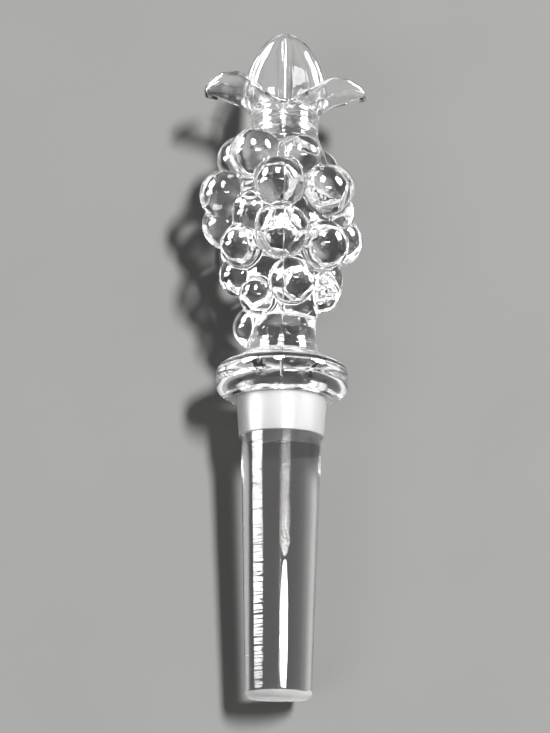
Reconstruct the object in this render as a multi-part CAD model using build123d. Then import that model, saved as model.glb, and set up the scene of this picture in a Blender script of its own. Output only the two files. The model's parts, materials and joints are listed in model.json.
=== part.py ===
from build123d import *
import os
from math import asin, atan2, cos, degrees, hypot, radians, sin

# A cast glass bottle stopper, lying as it comes to rest on its flange and two of its grapes.
# It is first made upright: its axis on Z, the flange's seat at z = 0, its front towards -Y.

# Shank
SHANK_LENGTH = 64.0
SHANK_TOP_DIAMETER = 17.8
SHANK_END_DIAMETER = 13.8
SHANK_END_BEVEL_HEIGHT = 1.6
SHANK_END_BEVEL_DEPTH = 1.0
SHANK_END_BEVEL_BULGE = 0.25

# Sealing sleeve
SLEEVE_LENGTH = 8.5
SLEEVE_TOP_WALL = 0.83
SLEEVE_LOW_WALL = 0.45
SLEEVE_LEAD_IN = 0.3
SLEEVE_CLEARANCE = 0.02

# Flange
FLANGE_DIAMETER = 28.6
FLANGE_SEAT_ROUND = 3.2
FLANGE_RIM_HEIGHT = 1.9
FLANGE_TOP_ROUND = 2.5
FLANGE_DOME_RISE = 2.2
FLANGE_DOME_BULGE = 0.2

# Waist rings
LOWER_RING_DIAMETER = 16.0
UPPER_RING_DIAMETER = 15.4
RING_HEIGHT = 1.1
RING_BULGE = 0.35

# Core of the bunch
WAIST_DIAMETER = 14.6
WAIST_HEIGHT = 5.3
BUNCH_LENGTH = 42.5
CORE_DIAMETER = 22.4
NECK_DIAMETER = 15.0
NECK_HEIGHT = 6.6

# Grapes
GRAPE_DIAMETER = 11.2
GRAPE_REACH = 13.0
REST_GRAPE_DIAMETER = 11.2
REST_GRAPE_REACH = 12.8
REST_GRAPE_TURN = 32.0
REST_GRAPE_HEIGHT_SHARE = 0.50

# Each grape: height up the bunch, turn from the front in degrees, reach from the axis, size.
FRONT_GRAPE_SHARES = (
    (0.90, -105, 0.78, 0.94),
    (0.85, -42, 0.77, 0.98),
    (0.82, 22, 0.72, 0.86),
    (0.74, 97, 0.82, 0.91),
    (0.67, -84, 1.02, 0.98),
    (0.65, 50, 0.88, 1.00),
    (0.66, -6, 0.88, 1.00),
    (0.58, 80, 0.88, 0.75),
    (0.54, -103, 1.00, 0.98),
    (0.51, -35, 0.85, 0.89),
    (0.46, 106, 0.95, 1.02),
    (0.40, -2, 0.96, 1.03),
    (0.35, 47, 0.92, 0.96),
    (0.35, -49, 0.92, 0.85),
    (0.23, -80, 0.74, 0.82),
    (0.15, 11, 0.81, 0.88),
    (0.15, 75, 0.63, 0.86),
    (0.09, -39, 0.69, 0.69),
    (-0.03, -100, 0.48, 0.84),
)
BACK_GRAPE_SHARES = (
    (0.86, 122, 0.68, 0.86),
    (0.84, 176, 0.72, 0.92),
    (0.72, 143, 0.90, 0.98),
    (0.71, -146, 0.90, 0.98),
    (0.66, 180, 0.83, 0.94),
    (0.37, -112, 0.80, 0.82),
    (0.34, 180, 0.80, 0.92),
    (0.32, 136, 0.84, 0.93),
    (0.33, -134, 0.86, 0.93),
    (0.25, 112, 0.72, 0.80),
    (0.16, 158, 0.70, 0.83),
    (0.17, -150, 0.72, 0.83),
)

# Curled leaves
LEAF_REACH = 18.2
LEAF_WIDTH = 16.6
LEFT_LEAF_RISE = 7.8
RIGHT_LEAF_RISE = 6.4
LEAF_WALL = 2.0
# Each section: reach from the axis, half width, height of the rim, height of the keel, wall.
LEAF_SECTION_SHARES = (
    (0.00, 1.00, -0.07, -0.78, 1.00),
    (0.22, 0.94, 0.23, -0.48, 1.00),
    (0.44, 0.77, 0.73, -0.02, 1.00),
    (0.68, 0.57, 0.97, 0.25, 0.95),
    (0.86, 0.36, 0.92, 0.35, 0.75),
    (1.00, 0.12, 0.65, 0.43, 0.35),
)

# Bud
BUD_WIDTH = 18.4
BUD_DEPTH = 7.6
BUD_RIM = 2.8
BUD_HEIGHT = 19.2
BUD_HOLLOW_SHARE = 0.46
# Each level: height, half width, half depth at the rib, thickness of the rim.
BUD_LEVEL_SHARES = (
    (-0.09, 0.80, 1.00, 1.00),
    (0.21, 1.00, 1.00, 1.00),
    (0.46, 0.94, 0.92, 1.00),
    (0.63, 0.82, 0.82, 0.95),
    (0.78, 0.64, 0.68, 0.85),
    (0.91, 0.38, 0.48, 0.65),
    (0.98, 0.16, 0.27, 0.40),
    (1.00, 0.05, 0.10, 0.15),
)

# Levels up the axis
RIM_TOP = FLANGE_SEAT_ROUND + FLANGE_RIM_HEIGHT
DOME_FOOT = RIM_TOP + FLANGE_TOP_ROUND
DOME_TOP = DOME_FOOT + FLANGE_DOME_RISE
UPPER_RING_FOOT = DOME_TOP + RING_HEIGHT
WAIST_FOOT = UPPER_RING_FOOT + RING_HEIGHT
BUNCH_FOOT = WAIST_FOOT + WAIST_HEIGHT
BUNCH_TOP = BUNCH_FOOT + BUNCH_LENGTH
CROWN_FOOT = BUNCH_TOP + NECK_HEIGHT


def shank_radius(height: float) -> float:
    """Returns the shank's radius at a height, which is zero at the seat and negative down the shank."""
    taper = (SHANK_TOP_DIAMETER - SHANK_END_DIAMETER) / SHANK_LENGTH
    return (SHANK_TOP_DIAMETER + height * taper) / 2


def ring_edge(diameter: float, foot: float) -> list:
    """Returns the profile of one waist ring: a step out to it and its rounded edge."""
    inner = diameter / 2 - RING_BULGE
    return [(inner, foot), (diameter / 2, foot + RING_HEIGHT / 2), (inner, foot + RING_HEIGHT)]


def turned_body() -> Part:
    """Returns the shank, flange, rings, core and neck as one turned solid."""
    bevel_top = SHANK_END_BEVEL_HEIGHT - SHANK_LENGTH
    bevel_high = (shank_radius(bevel_top), bevel_top)
    bevel_low = (SHANK_END_DIAMETER / 2 - SHANK_END_BEVEL_DEPTH, -SHANK_LENGTH)
    rim = FLANGE_DIAMETER / 2
    round_low = (rim - FLANGE_SEAT_ROUND, FLANGE_SEAT_ROUND)
    round_high = (rim - FLANGE_TOP_ROUND, RIM_TOP)
    lower_ring = ring_edge(LOWER_RING_DIAMETER, DOME_TOP)
    upper_ring = ring_edge(UPPER_RING_DIAMETER, UPPER_RING_FOOT)
    waist = WAIST_DIAMETER / 2
    neck = NECK_DIAMETER / 2
    widest = (CORE_DIAMETER / 2, (BUNCH_FOOT + BUNCH_TOP) / 2)
    with BuildPart() as body:
        with BuildSketch(Plane.XZ):
            with BuildLine():
                Polyline((0, CROWN_FOOT), (0, -SHANK_LENGTH), bevel_low)
                SagittaArc(bevel_low, bevel_high, -SHANK_END_BEVEL_BULGE)
                Polyline(bevel_high, (shank_radius(0), 0), (round_low[0], 0))
                CenterArc(round_low, FLANGE_SEAT_ROUND, -90, 90)
                Line((rim, FLANGE_SEAT_ROUND), (rim, RIM_TOP))
                CenterArc(round_high, FLANGE_TOP_ROUND, 0, 90)
                SagittaArc((round_high[0], DOME_FOOT), lower_ring[0], -FLANGE_DOME_BULGE)
                ThreePointArc(*lower_ring)
                Line(lower_ring[-1], upper_ring[0])
                ThreePointArc(*upper_ring)
                Polyline(upper_ring[-1], (waist, WAIST_FOOT), (waist, BUNCH_FOOT))
                ThreePointArc((waist, BUNCH_FOOT), widest, (neck, BUNCH_TOP))
                Polyline((neck, BUNCH_TOP), (neck, CROWN_FOOT), (0, CROWN_FOOT))
            make_face()
        revolve(axis=Axis.Z)
    return body.part


def grape(height: float, turn: float, reach: float, diameter: float) -> Part:
    """Returns one grape, turned about the axis from the front, with its pole towards the axis."""
    outward = Vector(sin(radians(turn)), -cos(radians(turn)), 0)
    place = Plane(origin=outward * reach + Vector(0, 0, height), x_dir=(0, 0, 1), z_dir=-outward)
    return place * Sphere(diameter / 2)


def grapes() -> list:
    """Returns all the grapes, with the two that the stopper rests on last."""
    bunch = []
    for height, turn, reach, size in FRONT_GRAPE_SHARES + BACK_GRAPE_SHARES:
        level = BUNCH_FOOT + height * BUNCH_LENGTH
        bunch.append(grape(level, turn, reach * GRAPE_REACH, size * GRAPE_DIAMETER))
    for turn in (180 - REST_GRAPE_TURN, 180 + REST_GRAPE_TURN):
        bunch.append(grape(rest_grape_height(), turn, REST_GRAPE_REACH, REST_GRAPE_DIAMETER))
    return bunch


def rest_grape_height() -> float:
    """Returns the height of the two grapes that the stopper rests on."""
    return BUNCH_FOOT + REST_GRAPE_HEIGHT_SHARE * BUNCH_LENGTH


def leaf(rise: float) -> Part:
    """Returns a leaf that curls out towards +X and up by its rise: a gutter that narrows to its tip."""
    sections = []
    for reach, width, rim, keel, wall in LEAF_SECTION_SHARES:
        half = width * LEAF_WIDTH / 2
        rim_level = CROWN_FOOT + rim * rise
        keel_level = CROWN_FOOT + keel * rise
        inner = half - wall * LEAF_WALL
        inner_keel = keel_level + wall * LEAF_WALL
        plane = Plane(origin=(reach * LEAF_REACH, 0, 0), x_dir=(0, 1, 0), z_dir=(1, 0, 0))
        with BuildSketch(plane) as section:
            with BuildLine():
                ThreePointArc((-half, rim_level), (0, keel_level), (half, rim_level))
                Line((half, rim_level), (inner, rim_level))
                ThreePointArc((inner, rim_level), (0, inner_keel), (-inner, rim_level))
                Line((-inner, rim_level), (-half, rim_level))
            make_face()
        sections.append(section.sketch)
    return loft(sections)


def bud() -> Part:
    """Returns the flat pointed bud: a round rim, and hollow faces that rise to a rib, front and back."""
    sections = []
    for height, width, depth, rim in BUD_LEVEL_SHARES:
        across = width * BUD_WIDTH / 2
        deep = depth * BUD_DEPTH / 2
        edge = rim * BUD_RIM / 2
        inner = across - edge
        middle = (BUD_HOLLOW_SHARE * inner, BUD_HOLLOW_SHARE * (edge + deep))
        with BuildSketch(Plane.XY.offset(CROWN_FOOT + height * BUD_HEIGHT)) as section:
            with BuildLine():
                for way in (1, -1):
                    rib = (0, way * deep)
                    near = (way * inner, way * edge)
                    far = (-way * inner, way * edge)
                    ThreePointArc((way * inner, -way * edge), (way * across, 0), near)
                    ThreePointArc(near, (way * middle[0], way * middle[1]), rib)
                    ThreePointArc(rib, (-way * middle[0], way * middle[1]), far)
            make_face()
        sections.append(section.sketch)
    return loft(sections)


def glass_stopper_body() -> Part:
    """Returns the whole glass piece as one solid."""
    left_leaf = leaf(LEFT_LEAF_RISE).mirror(Plane.YZ)
    return turned_body().fuse(*grapes(), leaf(RIGHT_LEAF_RISE), left_leaf, bud())


def sealing_sleeve() -> Part:
    """Returns the sleeve: its bore follows the shank's taper, and its wall thins downwards."""
    top_bore = shank_radius(0) + SLEEVE_CLEARANCE
    low_bore = shank_radius(-SLEEVE_LENGTH) + SLEEVE_CLEARANCE
    low = low_bore + SLEEVE_LOW_WALL
    with BuildPart() as sleeve:
        with BuildSketch(Plane.XZ):
            with BuildLine():
                Polyline(
                    (top_bore, 0),
                    (top_bore + SLEEVE_TOP_WALL, 0),
                    (low, SLEEVE_LEAD_IN - SLEEVE_LENGTH),
                    (low - SLEEVE_LEAD_IN, -SLEEVE_LENGTH),
                    (low_bore, -SLEEVE_LENGTH),
                    close=True,
                )
            make_face()
        revolve(axis=Axis.Z)
    return sleeve.part


def rest_pitch() -> float:
    """Returns the angle, in degrees, by which the axis climbs from the flange to the grapes.

    The floor touches the flange's rounded lower edge and the two resting grapes.
    """
    along = rest_grape_height() - FLANGE_SEAT_ROUND
    rise = REST_GRAPE_REACH * cos(radians(REST_GRAPE_TURN)) - (FLANGE_DIAMETER / 2 - FLANGE_SEAT_ROUND)
    grow = REST_GRAPE_DIAMETER / 2 - FLANGE_SEAT_ROUND
    return degrees(atan2(rise, along) + asin(grow / hypot(along, rise)))


def main() -> None:
    """Builds both pieces, lays them down and writes one file for each."""
    lie = Rotation(rest_pitch() - 90, 0, 0)
    glass = lie * glass_stopper_body()
    box = glass.bounding_box()
    middle = box.center()
    floor = Location((-middle.X, -middle.Y, -box.min.Z))
    os.makedirs("parts", exist_ok=True)
    export_step(floor * glass, "parts/glass_stopper_body.step")
    export_step(floor * lie * sealing_sleeve(), "parts/sealing_sleeve.step")


main()
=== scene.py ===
import json
import logging
import math
from dataclasses import dataclass
from enum import Enum
from functools import partial, reduce

import bmesh
import bpy
import numpy as np
from bpy.types import Material, Mesh, NodeSocket, NodeTree, Object
from mathutils import Matrix, Vector


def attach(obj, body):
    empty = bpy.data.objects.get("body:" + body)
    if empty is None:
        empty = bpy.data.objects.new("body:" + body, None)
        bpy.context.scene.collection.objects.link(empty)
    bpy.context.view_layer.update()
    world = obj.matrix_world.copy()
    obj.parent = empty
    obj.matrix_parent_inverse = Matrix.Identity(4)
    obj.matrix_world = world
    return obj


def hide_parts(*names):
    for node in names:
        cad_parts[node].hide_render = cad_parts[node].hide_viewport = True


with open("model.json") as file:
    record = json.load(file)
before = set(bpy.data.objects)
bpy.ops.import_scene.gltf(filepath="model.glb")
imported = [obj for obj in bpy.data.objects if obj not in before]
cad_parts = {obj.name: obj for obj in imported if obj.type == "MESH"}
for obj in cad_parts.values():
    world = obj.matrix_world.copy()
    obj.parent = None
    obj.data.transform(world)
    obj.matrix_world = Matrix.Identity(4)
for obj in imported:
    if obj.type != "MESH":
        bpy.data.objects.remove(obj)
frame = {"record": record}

LOG = logging.getLogger("glass_stopper")

# Shapes are made upright in millimetres, with the flange's seat at z = 0 and the front towards -Y.
MM = 0.001
SHANK_LENGTH = 64.0

# Points that are closer than this, in metres, are welded.
WELD = 1e-7

# The least that a formula divides by.
LEAST = 1e-3


class Slot(Enum):
    """The record's material slots."""

    GLASS = "clear_glass"
    SLEEVE = "milky_sleeve"


class Node(Enum):
    """The CAD nodes that finished pieces stand for."""

    GLASS = "glass_stopper_body"
    SLEEVE = "sealing_sleeve"


class LampUse(Enum):
    """What a lamp is for: to light dull surfaces, or to show in gloss and glass."""

    DULL = "dull"
    GLOSS = "gloss"


@dataclass(frozen=True)
class StopperAxis:
    """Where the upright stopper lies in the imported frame.

    Attributes:
        seat: The middle of the flange's seat, in metres.
        along: The way from the shank to the bud.
        back: The way from the front of the stopper to its back.
    """

    seat: Vector
    along: Vector
    back: Vector

    @classmethod
    def from_record(cls, record: dict) -> "StopperAxis":
        """Reads the axis from the mount on the shank's end.

        Args:
            record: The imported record.

        Returns:
            The axis as the part lies at rest.
        """
        end = next(mount for mount in record["mounts"] if mount["name"] == "shank_end")
        along = -Vector(end["axis"])
        back = along.cross(Vector((1.0, 0.0, 0.0)))
        return cls(Vector(end["pos_m"]) + along * SHANK_LENGTH * MM, along, back)

    def turn(self) -> np.ndarray:
        """Returns the upright X, Y and Z ways as the rows of a matrix."""
        return np.array([(1.0, 0.0, 0.0), tuple(self.back), tuple(self.along)])

    def lay(self, points: np.ndarray) -> np.ndarray:
        """Returns upright points, in millimetres, as they lie in the frame, in metres."""
        return points * MM @ self.turn() + np.array(self.seat)

    def stand(self, points: np.ndarray) -> np.ndarray:
        """Returns points of the frame, in metres, as upright ones, in millimetres."""
        return (points - np.array(self.seat)) @ self.turn().T / MM


def smooth_curve(at: np.ndarray, table: tuple, column: int) -> np.ndarray:
    """Runs a smooth curve through one column of a table.

    Args:
        at: Places along the table's first column, held within its ends.
        table: Rows whose first value rises.
        column: The column that the curve goes through.

    Returns:
        The curve's value at each place.
    """
    rows = np.array(table, float)
    knots, values = rows[:, 0], rows[:, column]
    slopes = np.gradient(values, knots)
    held = np.clip(at, knots[0], knots[-1])
    index = np.clip(np.searchsorted(knots, held, side="right") - 1, 0, len(knots) - 2)
    span = knots[index + 1] - knots[index]
    u = (held - knots[index]) / span
    low = values[index] + u * span * slopes[index]
    high = values[index + 1] - (1 - u) * span * slopes[index + 1]
    ease = u * u * (3 - 2 * u)
    return low * (1 - ease) + high * ease


def arc_through(start: tuple, middle: tuple, end: tuple, count: int = 12) -> list[tuple]:
    """Returns points along the circle arc from start through middle to end.

    Args:
        start: First point, as radius and height.
        middle: A point on the way.
        end: Last point.
        count: Number of steps.

    Returns:
        The arc's points, both ends included.
    """
    a, b, c = complex(*start), complex(*middle), complex(*end)
    w = (c - a) / (b - a)
    centre = (b - a) * (w - abs(w) ** 2) / (2j * w.imag) + a
    sweep = np.angle((b - centre) / (a - centre)) + np.angle((c - centre) / (b - centre))
    turns = np.exp(1j * sweep * np.linspace(0, 1, count + 1))
    return [(p.real, p.imag) for p in centre + (a - centre) * turns]


def bulged(start: tuple, end: tuple, bulge: float, count: int = 8) -> list[tuple]:
    """Returns points along an arc that bulges to the right of its way.

    Args:
        start: First point, as radius and height.
        end: Last point.
        bulge: How far the arc's middle is from the straight line.
        count: Number of steps.

    Returns:
        The arc's points, both ends included.
    """
    run = np.array(end) - np.array(start)
    outward = np.array([run[1], -run[0]]) / np.hypot(*run)
    return arc_through(start, tuple(np.array(start) + run / 2 + outward * bulge), end, count)


def quarter(centre: tuple, radius: float, start: float, count: int = 10) -> list[tuple]:
    """Returns points along a quarter turn of a circle.

    Args:
        centre: The circle's centre, as radius and height.
        radius: The circle's own radius.
        start: Angle of the first point, in degrees.
        count: Number of steps.

    Returns:
        The quarter's points, both ends included.
    """
    angles = np.radians(start + 90 * np.linspace(0, 1, count + 1))
    return [(centre[0] + radius * math.cos(a), centre[1] + radius * math.sin(a)) for a in angles]


def turned_rings(outline: list[tuple], segments: int) -> list[np.ndarray]:
    """Returns one ring of points for each outline point that is off the axis.

    Args:
        outline: Points as radius and height.
        segments: Points in each ring.

    Returns:
        The rings, in the outline's order.
    """
    angles = np.linspace(0, 2 * math.pi, segments, endpoint=False)
    circle = np.stack([np.cos(angles), np.sin(angles)], 1)
    return [np.column_stack([circle * r, np.full(segments, z)]) for r, z in outline if r > 0]


def skin_rings(rings: list[np.ndarray], closed: bool = False) -> tuple[np.ndarray, list[tuple]]:
    """Joins rings of points into one closed surface.

    Args:
        rings: Rings with the same number of points each.
        closed: True if the last ring joins the first, as on a tube; else both ends get a cap.

    Returns:
        The points and the faces.
    """
    size = len(rings[0])
    pairs = list(zip(range(len(rings)), range(1, len(rings))))
    if closed:
        pairs.append((len(rings) - 1, 0))
    faces = []
    for low, high in pairs:
        for i in range(size):
            j = (i + 1) % size
            faces.append((low * size + i, low * size + j, high * size + j, high * size + i))
    if not closed:
        faces.append(tuple(range(size - 1, -1, -1)))
        faces.append(tuple((len(rings) - 1) * size + i for i in range(size)))
    return np.concatenate(rings), faces


def new_piece(name: str, points: np.ndarray, faces: list[tuple]) -> Object:
    """Makes a mesh object at the origin from points in metres.

    Args:
        name: Name of the object.
        points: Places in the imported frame.
        faces: Corner numbers of each face.

    Returns:
        The object, with its faces turned outwards.
    """
    mesh = bpy.data.meshes.new(name)
    mesh.from_pydata(points.tolist(), [], faces)
    shape = bmesh.new()
    shape.from_mesh(mesh)
    bmesh.ops.remove_doubles(shape, verts=shape.verts, dist=WELD)
    bmesh.ops.recalc_face_normals(shape, faces=shape.faces)
    shape.to_mesh(mesh)
    shape.free()
    piece = bpy.data.objects.new(name, mesh)
    bpy.context.scene.collection.objects.link(piece)
    return piece


def evaluated_mesh(piece: Object) -> Mesh:
    """Returns a plain mesh of a piece with its modifiers applied."""
    view = bpy.context.evaluated_depsgraph_get()
    return bpy.data.meshes.new_from_object(piece.evaluated_get(view), depsgraph=view)


class NodeSheet:
    """A node tree that is being filled."""

    def __init__(self, tree: NodeTree) -> None:
        """Starts on an empty tree."""
        self.tree = tree

    def add(self, kind: str, inputs: dict | None = None, **settings: object) -> bpy.types.Node:
        """Adds one node.

        Args:
            kind: The node's type.
            inputs: Values or output sockets for its inputs, by name or number.
            **settings: Attributes of the node.

        Returns:
            The new node.
        """
        node = self.tree.nodes.new(kind)
        for key, value in settings.items():
            setattr(node, key, value)
        for key, value in (inputs or {}).items():
            if isinstance(value, NodeSocket):
                self.tree.links.new(value, node.inputs[key])
            else:
                node.inputs[key].default_value = value
        return node

    def math(self, operation: str, first: object, second: object = 0.0,
             third: object = 0.0) -> NodeSocket:
        """Returns the result of a math node on two or three values."""
        return self.add("ShaderNodeMath", {0: first, 1: second, 2: third}, operation=operation).outputs[0]

    def product(self, *values: object) -> NodeSocket:
        """Returns the product of two or more values."""
        return reduce(partial(self.math, "MULTIPLY"), values)

    def total(self, *values: object) -> NodeSocket:
        """Returns the sum of two or more values."""
        return reduce(partial(self.math, "ADD"), values)

    def along(self, shift: NodeSocket, way: Vector) -> NodeSocket:
        """Returns how many millimetres a shift, in metres, goes along a way."""
        dot = self.add("ShaderNodeVectorMath", {0: shift, 1: way}, operation="DOT_PRODUCT")
        return self.math("DIVIDE", dot.outputs["Value"], MM)

    def ramp(self, value: NodeSocket, start: float, end: float,
             low: float = 0.0, high: float = 1.0) -> NodeSocket:
        """Returns a value eased from low to high.

        Args:
            value: The value that is read.
            start: Where it gives low.
            end: Where it gives high.
            low: The least result.
            high: The greatest result.

        Returns:
            The eased value.
        """
        inputs = {"Value": value, "From Min": start, "From Max": end, "To Min": low, "To Max": high}
        node = self.add("ShaderNodeMapRange", inputs, interpolation_type="SMOOTHSTEP")
        return node.outputs["Result"]

    def mix(self, factor: NodeSocket, first: tuple, second: tuple) -> NodeSocket:
        """Mixes two colours.

        Args:
            factor: 0 for the first colour, 1 for the second.
            first: The first colour.
            second: The second colour.

        Returns:
            The mixed colour.
        """
        factor_input, first_input, second_input, colour_output = 0, 6, 7, 2
        inputs = {factor_input: factor, first_input: first, second_input: second}
        return self.add("ShaderNodeMix", inputs, data_type="RGBA").outputs[colour_output]

    def noise(self, vector: NodeSocket, scale: tuple, detail: float = 2.0) -> NodeSocket:
        """Returns a soft noise whose scale, per metre, may differ along X, Y and Z.

        Args:
            vector: The place that is read.
            scale: Patches in a metre along each axis.
            detail: How many finer layers it has.

        Returns:
            A value round one half.
        """
        placed = self.add("ShaderNodeMapping", {"Vector": vector, "Scale": scale}).outputs[0]
        node = self.add("ShaderNodeTexNoise", {"Vector": placed, "Scale": 1.0, "Detail": detail})
        return node.outputs["Fac"]

    def swell(self, vector: NodeSocket, scale: tuple, detail: float = 1.0) -> NodeSocket:
        """Returns the same noise as a value round zero."""
        middle = 0.5
        return self.math("SUBTRACT", self.noise(vector, scale, detail), middle)

    def surface(self, inputs: dict) -> None:
        """Ends a material with one Principled surface."""
        shader = self.add("ShaderNodeBsdfPrincipled", inputs)
        self.add("ShaderNodeOutputMaterial", {"Surface": shader.outputs["BSDF"]})


def node_group(name: str, kind: str, inputs: dict[str, str], outputs: dict[str, str]) -> tuple:
    """Makes an empty node group.

    Args:
        name: Name of the group.
        kind: Type of its tree.
        inputs: Socket type of each input, by name, without the leading NodeSocket.
        outputs: Socket type of each output, in the same way.

    Returns:
        The sheet to fill, its input node and its output node.
    """
    tree = bpy.data.node_groups.new(name, kind)
    for way, sockets in (("INPUT", inputs), ("OUTPUT", outputs)):
        for label, socket in sockets.items():
            tree.interface.new_socket(label, in_out=way, socket_type="NodeSocket" + socket)
    sheet = NodeSheet(tree)
    return sheet, sheet.add("NodeGroupInput"), sheet.add("NodeGroupOutput")


def new_material(name: str) -> tuple[Material, NodeSheet, NodeSocket]:
    """Makes a material with an empty node tree.

    Args:
        name: Name of the material.

    Returns:
        The material, the sheet to fill, and the place on the surface that patterns read.
    """
    material = bpy.data.materials.new(name)
    material.use_nodes = True
    material.node_tree.nodes.clear()
    sheet = NodeSheet(material.node_tree)
    return material, sheet, sheet.add("ShaderNodeTexCoord").outputs["Object"]


@dataclass(frozen=True)
class HandlingMarks:
    """Smudges and fine specks that handling leaves on any surface.

    Attributes:
        smudge_scale: Smudges in a metre.
        smudge_range: The noise's values at which a smudge starts and is full.
        speck_scale: Places for a speck in a metre.
        speck_size: Size of a speck, as a share of its place.
        speck_from: The noise's value from which a place has a speck.
    """

    smudge_scale: float = 95.0
    smudge_range: tuple = (0.48, 0.72)
    speck_scale: float = 900.0
    speck_size: float = 0.10
    speck_from: float = 0.62

    def group(self) -> NodeTree:
        """Makes the node group the first time that it is asked for.

        Returns:
            A group with two outputs, Smudge and Speck.
        """
        name = "handling_marks"
        if name in bpy.data.node_groups:
            return bpy.data.node_groups[name]
        outputs = {"Smudge": "Float", "Speck": "Float"}
        sheet, start, end = node_group(name, "ShaderNodeTree", {"Vector": "Vector"}, outputs)
        place = start.outputs["Vector"]
        smudge = sheet.ramp(sheet.noise(place, (self.smudge_scale,) * 3, detail=4.0), *self.smudge_range)
        cells = sheet.add("ShaderNodeTexVoronoi", {"Vector": place, "Scale": self.speck_scale})
        near = sheet.ramp(cells.outputs["Distance"], self.speck_size, self.speck_size / 2)
        spread = sheet.noise(place, (self.speck_scale / 2,) * 3)
        chosen = sheet.math("GREATER_THAN", spread, self.speck_from)
        sheet.tree.links.new(smudge, end.inputs["Smudge"])
        sheet.tree.links.new(sheet.product(near, chosen), end.inputs["Speck"])
        return sheet.tree


@dataclass(frozen=True)
class CastSkin:
    """The skin that a mould leaves on glass, with sizes in millimetres and scales per metre.

    A range gives where something starts and where it is full. Heights are on the upright axis.

    Attributes:
        wave: Height of the broad waves above the flange.
        calm: Share of the waves that is left on the flange and the shank.
        ripple: Height of the ripples down the left of the shank's front.
        wrinkle: Height of the wrinkles down the upper middle of the shank's front.
        neck_band: Height of the bands round the neck.
        seam: Height of the mould's seam.
        seam_width: Half the width of the seam.
        wave_scale: Waves in a metre along X, Y and Z; so for the other scales.
        ripple_scale: Ripples in a metre.
        patch_scale: Patches of ripples in a metre.
        wrinkle_scale: Wrinkles in a metre.
        band_scale: Bands in a metre.
        patchy: Range of the noise that makes the patches, and their least and full strength.
        below_sleeve: Heights under the sleeve's edge, where ripples and wrinkles start.
        front: Depths that make out the front.
        left: Places across that make out its left.
        middle: Places beside the axis that make out its middle.
        upper: Heights that make out the shank's upper half.
        neck_foot: Heights at the neck's foot.
        neck_top: Heights at the neck's top.
        above_flange: Heights in which the waves grow.
    """

    wave: float = 0.20
    calm: float = 0.05
    ripple: float = 0.11
    wrinkle: float = 0.065
    neck_band: float = 0.25
    seam: float = 0.055
    seam_width: float = 0.16
    wave_scale: tuple = (190.0, 190.0, 190.0)
    ripple_scale: tuple = (60.0, 1900.0, 60.0)
    patch_scale: tuple = (90.0, 35.0, 90.0)
    wrinkle_scale: tuple = (1750.0, 2000.0, 1750.0)
    band_scale: tuple = (45.0, 1300.0, 45.0)
    patchy: tuple = (0.38, 0.60, 0.5, 1.0)
    below_sleeve: tuple = (-8.0, -10.0)
    front: tuple = (-1.0, -3.0)
    left: tuple = (-2.0, -3.4)
    middle: tuple = (3.2, 1.6)
    upper: tuple = (-0.56 * SHANK_LENGTH, -0.48 * SHANK_LENGTH)
    neck_foot: tuple = (56.0, 59.0)
    neck_top: tuple = (68.0, 66.0)
    above_flange: tuple = (9.0, 14.0)

    def group(self, axis: StopperAxis) -> NodeTree:
        """Makes the group that gives the skin's height in millimetres.

        Args:
            axis: Where the stopper lies.

        Returns:
            A group with one output, Height.
        """
        inputs, outputs = {"Vector": "Vector"}, {"Height": "Float"}
        sheet, start, end = node_group("cast_skin", "ShaderNodeTree", inputs, outputs)
        place = start.outputs["Vector"]
        from_seat = sheet.add("ShaderNodeVectorMath", {0: place, 1: axis.seat}, operation="SUBTRACT")
        shift = from_seat.outputs[0]
        height, depth = sheet.along(shift, axis.along), sheet.along(shift, axis.back)
        across = sheet.along(shift, Vector((1.0, 0.0, 0.0)))
        beside = sheet.math("ABSOLUTE", across)

        on_front = sheet.product(sheet.ramp(height, *self.below_sleeve), sheet.ramp(depth, *self.front))
        patches = sheet.ramp(sheet.noise(place, self.patch_scale), *self.patchy)
        on_left = sheet.product(on_front, sheet.ramp(across, *self.left), patches)
        ripples = sheet.product(sheet.swell(place, self.ripple_scale), on_left, self.ripple)

        upper, middle = sheet.ramp(height, *self.upper), sheet.ramp(beside, *self.middle)
        on_middle = sheet.product(on_front, upper, middle)
        wrinkles = sheet.product(sheet.swell(place, self.wrinkle_scale, detail=2.0), on_middle, self.wrinkle)

        on_neck = sheet.product(sheet.ramp(height, *self.neck_foot), sheet.ramp(height, *self.neck_top))
        bands = sheet.product(sheet.swell(place, self.band_scale), on_neck, self.neck_band)

        off_flange = sheet.ramp(height, *self.above_flange, self.calm * self.wave, self.wave)
        waves = sheet.product(sheet.noise(place, self.wave_scale), off_flange)
        seam = sheet.ramp(beside, self.seam_width, 0.0, 0.0, self.seam)
        skin = sheet.total(ripples, bands, wrinkles, seam, waves)
        sheet.tree.links.new(skin, end.inputs["Height"])
        return sheet.tree


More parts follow.
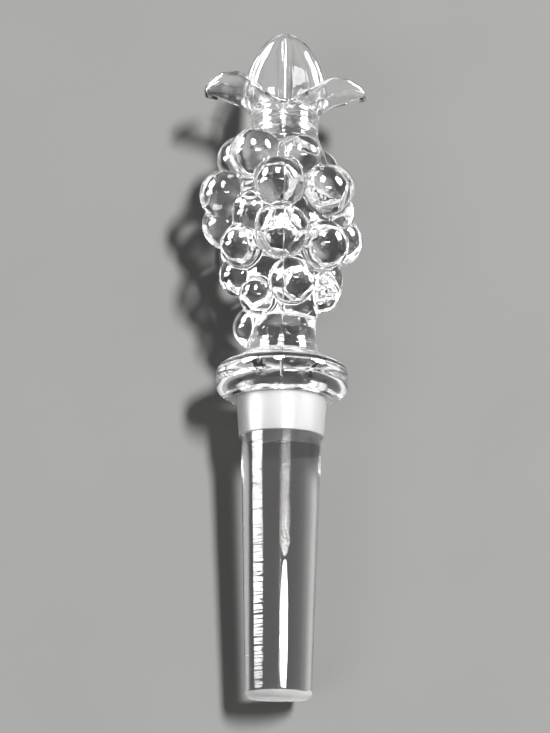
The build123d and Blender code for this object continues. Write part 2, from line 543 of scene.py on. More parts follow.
@dataclass(frozen=True)
class CastGlass:
    """Clear cast glass, fire polished.

    Attributes:
        tint: Colour of light that has gone through it.
        smudged_tint: The same where it is smudged.
        ior: How strongly it bends light.
        polish: Roughness of the polished skin.
        smear: Roughness that a smudge adds.
        focus: Brightness of the light that a face square to it gathers in the shadow.
        spread: How far from square on a face still lets light into the shadow.
        skin: The cast skin.
        marks: The marks of handling.
    """

    tint: tuple = (0.985, 0.992, 0.990, 1.0)
    smudged_tint: tuple = (0.965, 0.975, 0.972, 1.0)
    ior: float = 1.52
    polish: float = 0.004
    smear: float = 0.02
    focus: float = 1.2
    spread: float = 0.24
    skin: CastSkin = CastSkin()
    marks: HandlingMarks = HandlingMarks()

    def material(self, axis: StopperAxis) -> Material:
        """Makes the material.

        Args:
            axis: Where the stopper lies, for what follows its length.

        Returns:
            The finished material.
        """
        material, sheet, place = new_material("clear_glass")
        skin = sheet.add("ShaderNodeGroup", {"Vector": place}, node_tree=self.skin.group(axis))
        marks = sheet.add("ShaderNodeGroup", {"Vector": place}, node_tree=self.marks.group())
        roughness = sheet.total(sheet.product(marks.outputs["Smudge"], self.smear), self.polish)
        tint = sheet.mix(marks.outputs["Smudge"], self.tint, self.smudged_tint)
        bump = sheet.add("ShaderNodeBump", {"Height": skin.outputs["Height"], "Distance": MM})
        glass = sheet.add("ShaderNodeBsdfPrincipled", {
            "Base Color": tint,
            "Roughness": roughness,
            "IOR": self.ior,
            "Transmission Weight": 1.0,
            "Normal": bump.outputs["Normal"],
        })
        facing = sheet.add("ShaderNodeLayerWeight", {"Blend": 0.5}).outputs["Facing"]
        gathered = sheet.ramp(facing, 0.0, self.spread, self.focus, 0.0)
        passed = sheet.add("ShaderNodeBsdfTransparent", {"Color": gathered})
        is_shadow = sheet.add("ShaderNodeLightPath").outputs["Is Shadow Ray"]
        surface = sheet.add("ShaderNodeMixShader", {
            0: is_shadow,
            1: glass.outputs["BSDF"],
            2: passed.outputs["BSDF"],
        })
        sheet.add("ShaderNodeOutputMaterial", {"Surface": surface.outputs["Shader"]})
        return material


@dataclass(frozen=True)
class GroundGlass:
    """Glass that was ground flat: pale and frosted.

    Attributes:
        pale: Its colour.
        worn: Its colour in the worn patches.
        frost: Its roughness between the grains.
        grain_frost: Roughness that the grain adds.
        grain_scale: Grains in a metre.
        grain_depth: Depth of the grain, in metres.
        ior: How strongly it bends light.
        clear: Share of the light that goes through it.
        marks: The marks of handling.
    """

    pale: tuple = (0.90, 0.88, 0.87, 1.0)
    worn: tuple = (0.80, 0.79, 0.78, 1.0)
    frost: float = 0.42
    grain_frost: float = 0.2
    grain_scale: float = 5200.0
    grain_depth: float = 0.00003
    ior: float = 1.52
    clear: float = 0.55
    marks: HandlingMarks = HandlingMarks()

    def material(self) -> Material:
        """Makes the material, with a fine grain and worn patches.

        Returns:
            The finished material.
        """
        material, sheet, place = new_material("ground_glass")
        marks = sheet.add("ShaderNodeGroup", {"Vector": place}, node_tree=self.marks.group())
        grain = sheet.noise(place, (self.grain_scale,) * 3)
        roughness = sheet.total(sheet.product(grain, self.grain_frost), self.frost)
        bump = sheet.add("ShaderNodeBump", {"Height": grain, "Distance": self.grain_depth})
        sheet.surface({
            "Base Color": sheet.mix(marks.outputs["Smudge"], self.pale, self.worn),
            "Roughness": roughness,
            "IOR": self.ior,
            "Transmission Weight": self.clear,
            "Normal": bump.outputs["Normal"],
        })
        return material


@dataclass(frozen=True)
class MilkyPlastic:
    """Soft milky plastic that lets light through.

    Attributes:
        colour: Its own colour.
        streak: Its colour along faint flow marks.
        flow_scale: Flow marks in a metre, which run along the sleeve.
        flow_range: The noise's values at which a flow mark starts and is full.
        flow_height: Height of a flow mark, as a share of relief.
        relief: Height of a speck, in metres.
        shine: Its roughness.
        wear: Roughness that a smudge adds.
        ior: How strongly it bends light.
        cloud: Share of the light that wanders in it.
        depth: How far light wanders in it, in metres.
        wander: How far red, green and blue wander, as shares of depth.
        marks: The marks of handling.
    """

    colour: tuple = (0.97, 0.97, 0.955, 1.0)
    streak: tuple = (0.92, 0.92, 0.90, 1.0)
    flow_scale: tuple = (420.0, 60.0, 420.0)
    flow_range: tuple = (0.35, 0.70)
    flow_height: float = 0.02
    relief: float = 0.00004
    shine: float = 0.30
    wear: float = 0.14
    ior: float = 1.5
    cloud: float = 0.65
    depth: float = 0.0022
    wander: tuple = (1.0, 1.0, 0.96)
    marks: HandlingMarks = HandlingMarks()

    def material(self) -> Material:
        """Makes the material, with flow marks along the sleeve and a little wear.

        Returns:
            The finished material.
        """
        material, sheet, place = new_material("milky_sleeve")
        marks = sheet.add("ShaderNodeGroup", {"Vector": place}, node_tree=self.marks.group())
        flow = sheet.ramp(sheet.noise(place, self.flow_scale, detail=3.0), *self.flow_range)
        colour = sheet.mix(flow, self.colour, self.streak)
        roughness = sheet.total(sheet.product(marks.outputs["Smudge"], self.wear), self.shine)
        height = sheet.total(sheet.product(flow, self.flow_height), marks.outputs["Speck"])
        bump = sheet.add("ShaderNodeBump", {"Height": height, "Distance": self.relief})
        sheet.surface({
            "Base Color": colour,
            "Roughness": roughness,
            "IOR": self.ior,
            "Subsurface Weight": self.cloud,
            "Subsurface Radius": self.wander,
            "Subsurface Scale": self.depth,
            "Normal": bump.outputs["Normal"],
        })
        return material


@dataclass(frozen=True)
class PaperFloor:
    """Plain pale paper under the object.

    Attributes:
        pale: Its colour.
        shade: Its colour in the mottle's darker patches.
        mottle_scale: Patches in a metre.
        dullness: Its roughness.
    """

    pale: tuple = (0.42, 0.42, 0.412, 1.0)
    shade: tuple = (0.385, 0.385, 0.38, 1.0)
    mottle_scale: float = 28.0
    dullness: float = 0.75

    def material(self) -> Material:
        """Makes the material, with a faint mottle.

        Returns:
            The finished material.
        """
        material, sheet, place = new_material("pale_floor")
        mottle = sheet.noise(place, (self.mottle_scale,) * 3, detail=5.0)
        sheet.surface({
            "Base Color": sheet.mix(mottle, self.pale, self.shade),
            "Roughness": self.dullness,
            "Specular IOR Level": 0.0,
        })
        return material


@dataclass(frozen=True)
class TurnedStem:
    """The round stretch of the glass: shank, flange, rings, waist, core and neck.

    Sizes are in millimetres. A bulge is how far an edge stands out from the straight line. Fields
    that are named after a form, such as flange, core and neck, are diameters.
    """

    shank_top: float = 17.8
    shank_end: float = 13.8
    bevel_height: float = 1.6
    bevel_depth: float = 1.0
    bevel_bulge: float = 0.25
    flange: float = 28.6
    seat_round: float = 3.2
    rim_height: float = 1.9
    top_round: float = 2.5
    dome_rise: float = 2.2
    dome_bulge: float = 0.2
    lower_ring: float = 16.0
    upper_ring: float = 15.4
    ring_height: float = 1.1
    ring_bulge: float = 0.35
    waist: float = 14.6
    waist_height: float = 5.3
    bunch_length: float = 42.5
    core: float = 22.4
    neck: float = 15.0
    neck_height: float = 6.6

    @property
    def dome_top(self) -> float:
        """Height where the dome ends and the rings start."""
        return self.seat_round + self.rim_height + self.top_round + self.dome_rise

    @property
    def bunch_foot(self) -> float:
        """Height of the foot of the bunch."""
        return self.dome_top + 2 * self.ring_height + self.waist_height

    @property
    def crown_foot(self) -> float:
        """Height of the foot of the leaves and the bud."""
        return self.bunch_foot + self.bunch_length + self.neck_height

    def shank_radius(self, height: float) -> float:
        """Returns the shank's radius at a height, which is negative down the shank."""
        return (self.shank_top + height * (self.shank_top - self.shank_end) / SHANK_LENGTH) / 2

    def ring(self, diameter: float, foot: float) -> list[tuple]:
        """Makes the rounded edge of one waist ring.

        Args:
            diameter: The ring's diameter.
            foot: Height of its lower edge.

        Returns:
            The edge's points, as radius and height.
        """
        inner = diameter / 2 - self.ring_bulge
        middle = (diameter / 2, foot + self.ring_height / 2)
        return arc_through((inner, foot), middle, (inner, foot + self.ring_height), count=6)

    def outline(self) -> list[tuple]:
        """Makes the profile.

        Returns:
            Points as radius and height, from the ground end to the crown's foot.
        """
        bevel_top = self.bevel_height - SHANK_LENGTH
        bevel_low = (self.shank_end / 2 - self.bevel_depth, -SHANK_LENGTH)
        bevel_high = (self.shank_radius(bevel_top), bevel_top)
        rim = self.flange / 2
        rim_top = self.seat_round + self.rim_height
        lower = self.ring(self.lower_ring, self.dome_top)
        upper = self.ring(self.upper_ring, self.dome_top + self.ring_height)
        dome_foot = (rim - self.top_round, rim_top + self.top_round)
        waist_foot = self.dome_top + 2 * self.ring_height
        bunch_top = self.bunch_foot + self.bunch_length
        widest = (self.core / 2, self.bunch_foot + self.bunch_length / 2)
        return [
            (0.0, -SHANK_LENGTH),
            *bulged(bevel_low, bevel_high, self.bevel_bulge),
            (self.shank_radius(0.0), 0.0),
            *quarter((rim - self.seat_round, self.seat_round), self.seat_round, -90),
            *quarter((rim - self.top_round, rim_top), self.top_round, 0, count=6),
            *bulged(dome_foot, lower[0], self.dome_bulge)[1:-1],
            *lower,
            *upper,
            (self.waist / 2, waist_foot),
            *arc_through((self.waist / 2, self.bunch_foot), widest, (self.neck / 2, bunch_top), count=16),
            (self.neck / 2, self.crown_foot),
            (0.0, self.crown_foot),
        ]

    def distance(self, points: np.ndarray) -> np.ndarray:
        """Measures how far points are outside the stem.

        Args:
            points: Upright points.

        Returns:
            The distance of each one, negative inside.
        """
        outline = np.array(self.outline())
        radius, height = np.hypot(points[:, 0], points[:, 1]), points[:, 2]
        best = np.full(len(points), np.inf)
        inside = np.zeros(len(points), bool)
        for (r, z), (dr, dz) in zip(outline[:-1], np.diff(outline, axis=0)):
            share = np.clip(((radius - r) * dr + (height - z) * dz) / (dr * dr + dz * dz), 0, 1)
            best = np.minimum(best, (radius - r - share * dr) ** 2 + (height - z - share * dz) ** 2)
            if dz:
                spans = (z > height) != (z + dz > height)
                inside ^= spans & (radius < r + dr * (height - z) / dz)
        return np.where(inside, -1.0, 1.0) * np.sqrt(best)

    def rough(self, segments: int = 64) -> tuple[np.ndarray, list[tuple]]:
        """Returns a coarse closed surface of the stem."""
        return skin_rings(turned_rings(self.outline(), segments))


@dataclass(frozen=True)
class GrapeBunch:
    """The grapes, which stand unevenly round the core.

    Attributes:
        foot: Height of the foot of the bunch.
        length: Length of the bunch.
        diameter: Diameter of a full grape.
        reach: How far a full grape's centre is from the axis.
        rest_reach: How far the two resting grapes' centres are from the axis.
        rest_turn: How far they stand to each side of the back, in degrees.
        rest_share: How far up the bunch they are.
    """

    foot: float
    length: float
    diameter: float = 11.2
    reach: float = 13.0
    rest_reach: float = 12.8
    rest_turn: float = 32.0
    rest_share: float = 0.50

    # Each grape: height up the bunch, turn from the front in degrees, reach from the axis, size.
    shares = (
        (0.90, -105, 0.78, 0.94),
        (0.85, -42, 0.77, 0.98),
        (0.82, 22, 0.72, 0.86),
        (0.74, 97, 0.82, 0.91),
        (0.67, -84, 1.02, 0.98),
        (0.65, 50, 0.88, 1.00),
        (0.66, -6, 0.88, 1.00),
        (0.58, 80, 0.88, 0.75),
        (0.54, -103, 1.00, 0.98),
        (0.51, -35, 0.85, 0.89),
        (0.46, 106, 0.95, 1.02),
        (0.40, -2, 0.96, 1.03),
        (0.35, 47, 0.92, 0.96),
        (0.35, -49, 0.92, 0.85),
        (0.23, -80, 0.74, 0.82),
        (0.15, 11, 0.81, 0.88),
        (0.15, 75, 0.63, 0.86),
        (0.09, -39, 0.69, 0.69),
        (-0.03, -100, 0.48, 0.84),
        (0.86, 122, 0.68, 0.86),
        (0.84, 176, 0.72, 0.92),
        (0.72, 143, 0.90, 0.98),
        (0.71, -146, 0.90, 0.98),
        (0.66, 180, 0.83, 0.94),
        (0.37, -112, 0.80, 0.82),
        (0.34, 180, 0.80, 0.92),
        (0.32, 136, 0.84, 0.93),
        (0.33, -134, 0.86, 0.93),
        (0.25, 112, 0.72, 0.80),
        (0.16, 158, 0.70, 0.83),
        (0.17, -150, 0.72, 0.83),
    )

    def centres(self) -> np.ndarray:
        """Places the grapes.

        Returns:
            Each grape's centre, the two resting ones last.
        """
        rest = self.rest_reach / self.reach
        pair = [(self.rest_share, 180 + side * self.rest_turn, rest) for side in (-1, 1)]
        rows = np.array([row[:3] for row in self.shares] + pair)
        turn, reach = np.radians(rows[:, 1]), rows[:, 2] * self.reach
        height = self.foot + rows[:, 0] * self.length
        return np.stack([reach * np.sin(turn), -reach * np.cos(turn), height], 1)

    def radii(self) -> np.ndarray:
        """Returns each grape's radius, in the same order."""
        return np.array([row[3] for row in self.shares] + [1.0, 1.0]) * self.diameter / 2

    def distances(self, points: np.ndarray) -> list[np.ndarray]:
        """Returns, for each grape, how far points are outside it."""
        pairs = zip(self.centres(), self.radii())
        return [np.linalg.norm(points - centre, axis=1) - radius for centre, radius in pairs]

    def tree(self) -> NodeTree:
        """Makes the geometry nodes that set a ball on each point.

        Returns:
            A tree with inputs for the points, the balls' fineness and their material.
        """
        inputs = {"Points": "Geometry", "Fineness": "Int", "Material": "Material"}
        outputs = {"Grapes": "Geometry"}
        sheet, start, end = node_group("grape_bunch", "GeometryNodeTree", inputs, outputs)
        size = sheet.add("GeometryNodeInputNamedAttribute", {"Name": "grape_radius"}, data_type="FLOAT")
        ball = sheet.add("GeometryNodeMeshIcoSphere", {
            "Radius": 1.0,
            "Subdivisions": start.outputs["Fineness"],
        })
        placed = sheet.add("GeometryNodeInstanceOnPoints", {
            "Points": start.outputs["Points"],
            "Instance": ball.outputs["Mesh"],
            "Scale": size.outputs["Attribute"],
        })
        real = sheet.add("GeometryNodeRealizeInstances", {"Geometry": placed.outputs["Instances"]})
        dressed = sheet.add("GeometryNodeSetMaterial", {
            "Geometry": real.outputs["Geometry"],
            "Material": start.outputs["Material"],
        })
        sheet.tree.links.new(dressed.outputs["Geometry"], end.inputs["Grapes"])
        return sheet.tree

    def rough(self, axis: StopperAxis, material: Material, fineness: int = 4) -> Mesh:
        """Sets all the grapes with geometry nodes.

        Args:
            axis: Where the stopper lies.
            material: The grapes' material.
            fineness: How finely each ball is divided.

        Returns:
            A plain mesh of overlapping balls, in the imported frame.
        """
        cloud = bpy.data.meshes.new("grape_points")
        cloud.from_pydata(axis.lay(self.centres()).tolist(), [], [])
        size = cloud.attributes.new("grape_radius", "FLOAT", "POINT")
        size.data.foreach_set("value", (self.radii() * MM).astype(np.float32))
        holder = bpy.data.objects.new("grape_points", cloud)
        bpy.context.scene.collection.objects.link(holder)
        modifier = holder.modifiers.new("grape_bunch", "NODES")
        modifier.node_group = self.tree()
        sockets = {item.name: item.identifier for item in modifier.node_group.interface.items_tree}
        modifier[sockets["Fineness"]] = fineness
        modifier[sockets["Material"]] = material
        grapes = evaluated_mesh(holder)
        bpy.data.objects.remove(holder)
        return grapes


@dataclass(frozen=True)
class LeafCrown:
    """Two leaves that curl outwards round an upright pointed bud.

    Attributes:
        foot: Height of the crown's foot.
        reach: How far a leaf's tip is from the axis.
        width: Width of a leaf at the axis.
        left_rise: How far the left leaf curls up.
        right_rise: How far the right leaf curls up.
        wall: Thickness of a leaf.
        bud_width: Width of the bud.
        bud_depth: Depth of the bud, from front to back.
        bud_rim: Thickness of the bud's round rim.
        bud_height: Height of the bud above the crown's foot.
        widest_share: Height at which the bud is widest, as a share of its height.
        foot_share: Height of the bud's own foot, in the same way.
        foot_taper: How much narrower the bud is at its foot, as a share.
        point: Power of the curve up to the bud's tip; at 2 it would be an ellipse.
        rib: How far the thin rib down the bud's middle stands out.
        rib_width: Half the width of that rib.
        hollow: How deep the bud's faces are hollowed.
        groove: How far the faces lie back beside the rim.
        tip_fade: How fast rib, hollow and groove come in below the tip.
        nub: Radius of the small nub on the bud's tip.
        rise_span: Width over which one leaf's rise runs into the other's.
        least_span: Least half width and depth of a leaf's hollow.
        least_foot: Least width of the bud under its foot, as a share.
        least_face: Least half width of the bud's faces, at its tip.
        last_narrow: How far up, as a share, the bud's faces go on narrowing.
    """

    foot: float
    reach: float = 18.2
    width: float = 16.6
    left_rise: float = 7.8
    right_rise: float = 6.4
    wall: float = 2.0
    bud_width: float = 18.4
    bud_depth: float = 7.6
    bud_rim: float = 2.8
    bud_height: float = 19.2
    widest_share: float = 0.21
    foot_share: float = -0.09
    foot_taper: float = 0.20
    point: float = 1.8
    rib: float = 0.05
    rib_width: float = 0.30
    hollow: float = 0.16
    groove: float = 0.4
    tip_fade: float = 3.0
    nub: float = 0.5
    rise_span: float = 6.0
    least_span: float = 0.1
    least_foot: float = 0.2
    least_face: float = 0.3
    last_narrow: float = 0.99

    # Each leaf section: reach from the axis, half width, height of the rim, height of the keel, wall.
    sections = (
        (0.00, 1.00, -0.07, -0.78, 1.00),
        (0.22, 0.94, 0.23, -0.48, 1.00),
        (0.44, 0.77, 0.73, -0.02, 1.00),
        (0.68, 0.57, 0.97, 0.25, 0.95),
        (0.86, 0.36, 0.92, 0.35, 0.80),
        (1.00, 0.13, 0.68, 0.40, 0.60),
    )

    # Each level of the bud: height, half depth at the rib, thickness of the rim.
    levels = (
        (-0.09, 1.00, 1.00),
        (0.21, 1.00, 1.00),
        (0.46, 0.92, 1.00),
        (0.63, 0.82, 0.97),
        (0.78, 0.68, 0.92),
        (0.91, 0.48, 0.82),
        (1.00, 0.25, 0.70),
    )

    # The coarse bud's half width, half depth and least half depth, as shares of width, depth and rim.
    rough_shares = (0.46, 0.40, 0.4)

    def section(self, x: np.ndarray) -> tuple:
        """Measures the leaves at places across.

        Args:
            x: Places from the axis, negative on the left leaf.

        Returns:
            Half the width, the rim's height, the keel's height and the wall at each place.
        """
        share = np.abs(x) / self.reach
        half, rim, keel, wall = (smooth_curve(share, self.sections, i) for i in (1, 2, 3, 4))
        right = np.clip(0.5 + x / self.rise_span, 0, 1)
        rise = self.left_rise + (self.right_rise - self.left_rise) * right
        return half * self.width / 2, self.foot + rim * rise, self.foot + keel * rise, wall * self.wall

    def leaf_distance(self, points: np.ndarray) -> np.ndarray:
        """Measures how far points are outside the two leaves.

        Args:
            points: Upright points.

        Returns:
            About the distance of each one, negative inside.
        """
        x, y, z = points.T
        half, rim, keel, wall = self.section(x)
        thick = wall / 2
        span = np.maximum(half - thick, self.least_span)
        depth = np.maximum(rim - keel - thick, self.least_span)
        radius = (span**2 + depth**2) / (2 * depth)
        off = np.abs(np.hypot(y, z - keel - thick - radius) - radius)
        above = np.maximum(z - (rim - thick), 0.0)
        past = np.maximum(np.abs(x) - (self.reach - thick), 0.0)
        return np.sqrt(off**2 + above**2 + past**2) - thick

    def bud_distances(self, points: np.ndarray) -> list[np.ndarray]:
        """Measures how far points are outside the bud's rim, its faces and its nub.

        Args:
            points: Upright points.

        Returns:
            About the distance of each point from each of the three, negative inside.
        """
        x, y, z = points.T
        share = (z - self.foot) / self.bud_height
        tall = self.bud_height * (1 - self.widest_share) - self.nub
        up = np.maximum((share - self.widest_share) * self.bud_height / tall, 0.0)
        down = np.maximum((self.widest_share - share) / (self.widest_share - self.foot_share), 0.0)
        half = np.maximum(1 - self.foot_taper * down**2, self.least_foot) * self.bud_width / 2
        across = np.abs(x) / half
        whole = np.maximum((across**self.point + up**self.point) ** (1 / self.point), LEAST)
        steep = np.hypot(across ** (self.point - 1) / half, up ** (self.point - 1) / tall)
        inside = (1 - whole) / np.maximum(steep * whole ** (1 - self.point), LEAST)
        edge = smooth_curve(share, self.levels, 2) * self.bud_rim / 2
        below = self.foot + self.foot_share * self.bud_height - z
        rim = np.maximum(np.hypot(inside - edge, y) - edge, below)

        narrow = (1 - np.minimum(up, self.last_narrow) ** self.point) ** (1 / self.point)
        beside = np.clip(np.abs(x) / np.maximum(half * narrow - edge, self.least_face), 0, 1)
        deep = smooth_curve(share, self.levels, 1) * self.bud_depth / 2
        fade = np.clip(self.tip_fade * (1 - up), 0, 1)
        sunk = 4 * self.hollow * beside * (1 - beside) + self.groove * beside
        raised = self.rib * np.exp(-((x / self.rib_width) ** 2))
        face = edge + (deep - edge) * (1 - beside) + fade * (raised - sunk)
        faces = np.maximum(np.maximum(np.abs(y) - face, edge - inside), below)
        nub = np.linalg.norm(points - (0, 0, self.foot + self.bud_height - self.nub), axis=1) - self.nub
        return [rim, faces, nub]

    def rough(self) -> list[tuple[np.ndarray, list[tuple]]]:
        """Returns coarse closed surfaces of both leaves and the bud."""
        return [self.rough_leaf(-1), self.rough_leaf(1), self.rough_bud()]

    def rough_leaf(self, side: int, last: float = 0.97, steps: int = 16,
                   least: float = 0.05) -> tuple[np.ndarray, list[tuple]]:
        """Makes a coarse closed surface of one leaf.

        Args:
            side: -1 for the left leaf, 1 for the right one.
            last: How far out the surface goes, as a share of the reach.
            steps: Sections along the leaf, and steps across each.
            least: Least width and depth of the hollow.

        Returns:
            The points and the faces.
        """
        rings = []
        for x in side * self.reach * np.linspace(0, last, steps):
            half, rim, keel, wall = self.section(x)
            inner = max(half - wall, least)
            below = arc_through((-half, rim), (0, keel), (half, rim), steps)
            above = arc_through((inner, rim), (0, min(keel + wall, rim - least)), (-inner, rim), steps)
            rings.append(np.array([(x, y, z) for y, z in below + above]))
        return skin_rings(rings)

    def rough_bud(self, last: float = 0.99, levels: int = 18,
                  segments: int = 40) -> tuple[np.ndarray, list[tuple]]:
        """Makes a coarse closed surface of the bud.

        Args:
            last: How far up the surface goes, as a share of the height.
            levels: Levels up the bud.
            segments: Points round each level.

        Returns:
            The points and the faces.
        """
        rings = []
        wide_share, deep_share, rim_share = self.rough_shares
        for share in np.linspace(self.foot_share, last, levels):
            up = max((share - self.widest_share) / (1 - self.widest_share), 0.0)
            size = (1 - up**self.point) ** (1 / self.point)
            ring = turned_rings([(1.0, self.foot + share * self.bud_height)], segments)[0]
            wide = size * self.bud_width * wide_share
            deep = max(size * self.bud_depth * deep_share, min(wide, self.bud_rim * rim_share))
            rings.append(ring * (wide, deep, 1.0))
        return skin_rings(rings)


@dataclass(frozen=True)
class GlassBody:
    """The whole cast glass piece: stem, grapes and crown melted into one skin.

    Attributes:
        stem: The round stretch.
        bunch: The grapes.
        crown: The leaves and the bud.
        voxel: Size of the skin's mesh.
        melt: How softly forms run into each other.
        least_slope: Least squared slope that a move is divided by.
        spread: Share of the way to its neighbours' middle that a point goes.
    """

    stem: TurnedStem
    bunch: GrapeBunch
    crown: LeafCrown
    voxel: float = 0.425
    quick_voxel: float = 0.8
    melt: float = 0.28
    least_slope: float = 0.05
    spread: float = 0.5

    def distance(self, points: np.ndarray) -> np.ndarray:
        """Measures how far points are outside the melted form.

        Args:
            points: Upright points.

        Returns:
            About the distance of each one, negative inside.
        """
        rows = np.array([
            self.stem.distance(points),
            self.crown.leaf_distance(points),
            *self.crown.bud_distances(points),
            *self.bunch.distances(points),
        ])
        near = rows.min(0)
        return near - self.melt * np.log(np.exp((near - rows) / self.melt).sum(0))

    def slope(self, points: np.ndarray, here: np.ndarray, step: float = 0.01) -> np.ndarray:
        """Returns how the distance grows along X, Y and Z at each point."""
        return np.stack([(self.distance(points + way) - here) / step for way in np.eye(3) * step], 1)

    def settle(self, points: np.ndarray, edges: np.ndarray, rounds: int = 4,
               last: int = 2) -> np.ndarray:
        """Moves the points of a coarse skin onto the melted form and spreads them evenly.

        Args:
            points: Upright points near the form.
            edges: Pairs of points that are joined.
            rounds: How often the points are moved and spread.
            last: How often they are only moved after that.

        Returns:
            The settled points.
        """
        count = np.bincount(edges.ravel(), minlength=len(points))[:, None]
        for turn in range(rounds + last):
            here = self.distance(points)
            slope = self.slope(points, here)
            steep = np.maximum((slope**2).sum(1, keepdims=True), self.least_slope)
            points = points + np.clip(-here[:, None] * slope / steep, -self.voxel, self.voxel)
            if turn < rounds:
                total = np.zeros_like(points)
                np.add.at(total, edges[:, 0], points[edges[:, 1]])
                np.add.at(total, edges[:, 1], points[edges[:, 0]])
                pull = self.spread * (total / count - points)
                points = points + pull - slope * (pull * slope).sum(1, keepdims=True) / steep
        return points

    def build(self, axis: StopperAxis, polished: Material,
              ground: Material) -> Object:
        """Makes the piece and dresses it.

        Args:
            axis: Where the stopper lies.
            polished: The glass.
            ground: The glass of the shank's end.

        Returns:
            The finished piece.
        """
        shape = bmesh.new()
        for points, faces in [self.stem.rough(), *self.crown.rough()]:
            part = new_piece("rough", axis.lay(points), faces)
            shape.from_mesh(part.data)
            bpy.data.objects.remove(part)
        shape.from_mesh(self.bunch.rough(axis, polished))
        piece = new_piece("cast_glass", np.zeros((0, 3)), [])
        shape.to_mesh(piece.data)
        shape.free()
        merge = piece.modifiers.new("merge", "REMESH")
        merge.mode = "VOXEL"
        merge.voxel_size = self.voxel * MM
        piece.data = evaluated_mesh(piece)
        piece.modifiers.clear()

        mesh = piece.data
        places = np.zeros(len(mesh.vertices) * 3)
        mesh.vertices.foreach_get("co", places)
        edges = np.zeros(len(mesh.edges) * 2, np.int64)
        mesh.edges.foreach_get("vertices", edges)
        settled = self.settle(axis.stand(places.reshape(-1, 3)), edges.reshape(-1, 2))
        mesh.vertices.foreach_set("co", axis.lay(settled).ravel())
        mesh.materials.clear()
        for finish in (polished, ground):
            mesh.materials.append(finish)
        mesh.update()
        middles = np.zeros(len(mesh.polygons) * 3)
        mesh.polygons.foreach_get("center", middles)
        heights = axis.stand(middles.reshape(-1, 3))[:, 2]
        at_end = heights < self.stem.bevel_height - SHANK_LENGTH
        mesh.polygons.foreach_set("material_index", at_end.astype(np.int32))
        mesh.shade_smooth()
        mesh.update()
        return piece


@dataclass(frozen=True)
class SealingSleeve:
    """The milky sleeve that grips the shank under the flange.

    Attributes:
        stem: The stem whose shank it grips.
        length: Its length down the shank.
        top_wall: Its wall at the flange.
        low_wall: Its wall at its lower edge.
        clearance: The gap to the glass.
        edge: Radius of its rounded edges.
        edge_steps: Steps round such an edge.
        wall_points: Points down the wall and down the bore.
        segments: Points round the sleeve.
        crease: Angle, in degrees, from which an edge looks sharp.
    """

    stem: TurnedStem
    length: float = 8.5
    top_wall: float = 0.83
    low_wall: float = 0.45
    clearance: float = 0.02
    edge: float = 0.18
    edge_steps: int = 5
    wall_points: int = 7
    segments: int = 160
    crease: float = 50.0

    def outline(self) -> list[tuple]:
        """Makes the closed profile.

        Returns:
            Points as radius and height, once round the wall.
        """
        top_bore = self.stem.shank_radius(0.0) + self.clearance
        low_bore = self.stem.shank_radius(-self.length) + self.clearance
        top, low = top_bore + self.top_wall, low_bore + self.low_wall
        lower = quarter((low - self.edge, self.edge - self.length), self.edge, -90, self.edge_steps)
        upper = quarter((top - self.edge, -self.edge), self.edge, 0, self.edge_steps)
        wall = [tuple(p) for p in np.linspace(lower[-1], upper[0], self.wall_points)[1:-1]]
        ends = (top_bore, 0.0), (low_bore, -self.length)
        bore = [tuple(p) for p in np.linspace(*ends, self.wall_points)]
        return lower + wall + upper + bore

    def build(self, axis: StopperAxis, material: Material) -> Object:
        """Makes the piece and dresses it.

        Args:
            axis: Where the stopper lies.
            material: The plastic.

        Returns:
            The finished piece.
        """
        points, faces = skin_rings(turned_rings(self.outline(), self.segments), closed=True)
        piece = new_piece("sleeve_shell", axis.lay(points), faces)
        piece.data.materials.append(material)
        piece.data.shade_smooth()
        piece.data.set_sharp_from_angle(angle=math.radians(self.crease))
        return piece


@dataclass(frozen=True)
class Softbox:
    """One oval lamp that faces the object, with its length along the frame's Y.

    Attributes:
        name: Name of the lamp.
        way: The way from the object to the lamp.
        distance: How far away it is, in metres.
        size: Its width and its length.
        power: Its power, in watts.
        use: What it is for.
    """

    name: str
    way: tuple
    distance: float
    size: tuple
    power: float
    use: LampUse

    def build(self, target: Vector) -> Object:
        """Makes the lamp.

        Args:
            target: What it faces.

        Returns:
            The lamp.
        """
        data = bpy.data.lights.new(self.name, "AREA")
        data.shape = "ELLIPSE"
        data.size, data.size_y = self.size
        data.energy = self.power
        lamp = bpy.data.objects.new(self.name, data)
        lamp.visible_diffuse = self.use is LampUse.DULL
        lamp.visible_glossy = self.use is LampUse.GLOSS
        lamp.visible_transmission = self.use is LampUse.GLOSS
        way = Vector(self.way).normalized()
        across = Vector((0.0, 1.0, 0.0)).cross(way).normalized()
        turn = Matrix((across, way.cross(across), way)).transposed()
        lamp.matrix_world = Matrix.Translation(target + way * self.distance) @ turn.to_4x4()
        bpy.context.scene.collection.objects.link(lamp)
        return lamp


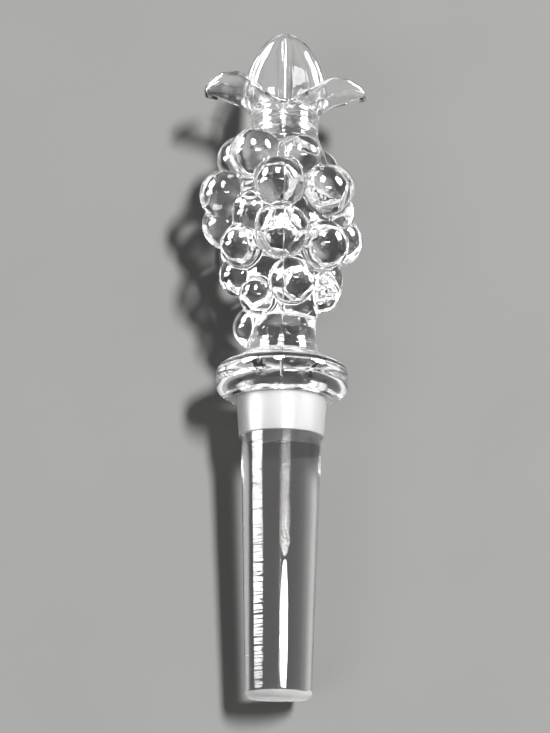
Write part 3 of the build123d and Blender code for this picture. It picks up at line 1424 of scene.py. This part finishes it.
@dataclass(frozen=True)
class Studio:
    """The floor, the lamps, the world and the camera.

    Attributes:
        floor_size: Width of the floor, in metres.
        ambient: How brightly the world lights what is dull.
        backdrop: How bright the world looks, also in glass and gloss.
        tilt: Angle of the view from square on to the stopper's axis, in degrees.
        distance: From the camera to the axis, in millimetres.
        aim: Height on the upright axis that the camera looks at.
        aside: How far the camera stands to the left of the axis.
        roll: How far the picture is turned, in degrees.
        view_angle: Angle of view over the picture's height, in degrees.
        lamps: The lamps.
    """

    floor_size: float = 6.0
    ambient: float = 0.08
    backdrop: float = 1.0
    tilt: float = 14.5
    distance: float = 408.0
    aim: float = 7.2
    aside: float = 1.54
    roll: float = 0.7
    view_angle: float = 22.0
    lamps: tuple = (
        Softbox("key", (0.38, 0.16, 0.89), 2.20, (0.25, 0.60), 47.0, LampUse.DULL),
        Softbox("streak", (0.26, -0.078, 0.96), 0.72, (0.32, 0.085), 3.6, LampUse.GLOSS),
        Softbox("stripe", (-0.78, 0.07, 0.22), 0.80, (0.60, 0.22), 9.0, LampUse.GLOSS),
        Softbox("top", (-0.08, 0.55, 0.83), 0.80, (0.24, 0.45), 13.0, LampUse.GLOSS),
        Softbox("left", (-0.85, 0.62, 0.40), 0.80, (0.34, 0.50), 30.0, LampUse.GLOSS),
        Softbox("right", (0.92, 0.60, 0.34), 0.80, (0.34, 0.44), 32.0, LampUse.GLOSS),
        Softbox("fill", (-0.55, -0.45, 0.70), 2.40, (1.40, 1.40), 8.0, LampUse.DULL),
    )

    def build(self, axis: StopperAxis) -> None:
        """Makes the whole studio.

        Args:
            axis: Where the stopper lies.
        """
        bpy.context.scene.cycles.caustics_reflective = False
        bpy.context.scene.cycles.caustics_refractive = False
        self.build_floor()
        self.build_world()
        for lamp in self.lamps:
            lamp.build(axis.seat)
        self.build_camera(axis)

    def build_floor(self) -> None:
        """Makes the floor."""
        half = self.floor_size / 2
        corners = np.array([(-half, -half, 0), (half, -half, 0), (half, half, 0), (-half, half, 0)])
        floor = new_piece("studio_floor", corners, [(0, 1, 2, 3)])
        floor.data.materials.append(PaperFloor().material())

    def build_world(self) -> None:
        """Makes an even world that looks pale but lights the floor softly."""
        world = bpy.data.worlds.new("studio_world")
        world.use_nodes = True
        world.node_tree.nodes.clear()
        sheet = NodeSheet(world.node_tree)
        path = sheet.add("ShaderNodeLightPath")
        mirrored = sheet.math("MAXIMUM", path.outputs["Is Glossy Ray"], path.outputs["Is Transmission Ray"])
        seen = sheet.math("MAXIMUM", path.outputs["Is Camera Ray"], mirrored)
        strength = sheet.ramp(seen, 0.0, 1.0, self.ambient, self.backdrop)
        background = sheet.add("ShaderNodeBackground", {"Color": (1.0, 1.0, 1.0, 1.0), "Strength": strength})
        sheet.add("ShaderNodeOutputWorld", {"Surface": background.outputs["Background"]})
        bpy.context.scene.world = world

    def build_camera(self, axis: StopperAxis) -> None:
        """Makes the camera at the photo's angle.

        Args:
            axis: Where the stopper lies.
        """
        tilt, roll = math.radians(self.tilt), math.radians(self.roll)
        ahead = np.array([0.0, math.cos(tilt), math.sin(tilt)])
        up = np.array([0.0, -math.sin(tilt), math.cos(tilt)])
        side = np.array([1.0, 0.0, 0.0])
        place = np.array([-self.aside, 0.0, self.aim]) - ahead * self.distance
        rolled = [
            side * math.cos(roll) + up * math.sin(roll),
            up * math.cos(roll) - side * math.sin(roll),
            -ahead,
        ]
        turn = Matrix((np.array(rolled) @ axis.turn()).T.tolist()).to_4x4()
        data = bpy.data.cameras.new("photo_camera")
        data.sensor_width = 36.0
        data.lens = data.sensor_width / 2 / math.tan(math.radians(self.view_angle) / 2)
        data.clip_start, data.clip_end = 0.01, 20.0
        camera = bpy.data.objects.new("photo_camera", data)
        camera.matrix_world = Matrix.Translation(axis.lay(place[None])[0]) @ turn
        bpy.context.scene.collection.objects.link(camera)
        bpy.context.scene.camera = camera


def dress(piece: Object, node: Node) -> None:
    """Hangs a finished piece under the root body and hides the mesh of the CAD node that it stands for.

    Args:
        piece: The finished piece.
        node: The CAD node.
    """
    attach(piece, "root")
    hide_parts(node.value)
    LOG.info("%s: %d faces, for %s", piece.name, len(piece.data.polygons), node.value)


def main() -> None:
    """Builds each piece, then the studio."""
    logging.basicConfig(level=logging.INFO, format="%(name)s %(message)s")
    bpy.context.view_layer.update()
    axis = StopperAxis.from_record(frame["record"])
    bpy.context.scene.view_settings.view_transform = "Standard"

    stem = TurnedStem()
    bunch = GrapeBunch(stem.bunch_foot, stem.bunch_length)
    crown = LeafCrown(stem.crown_foot)
    voxel = GlassBody.voxel
    body = GlassBody(stem, bunch, crown, voxel)
    glass = body.build(axis, CastGlass().material(axis), GroundGlass().material())
    dress(glass, Node.GLASS)
    sleeve = SealingSleeve(stem).build(axis, MilkyPlastic().material())
    dress(sleeve, Node.SLEEVE)

    Studio().build(axis)


if __name__ == "__main__":
    main()
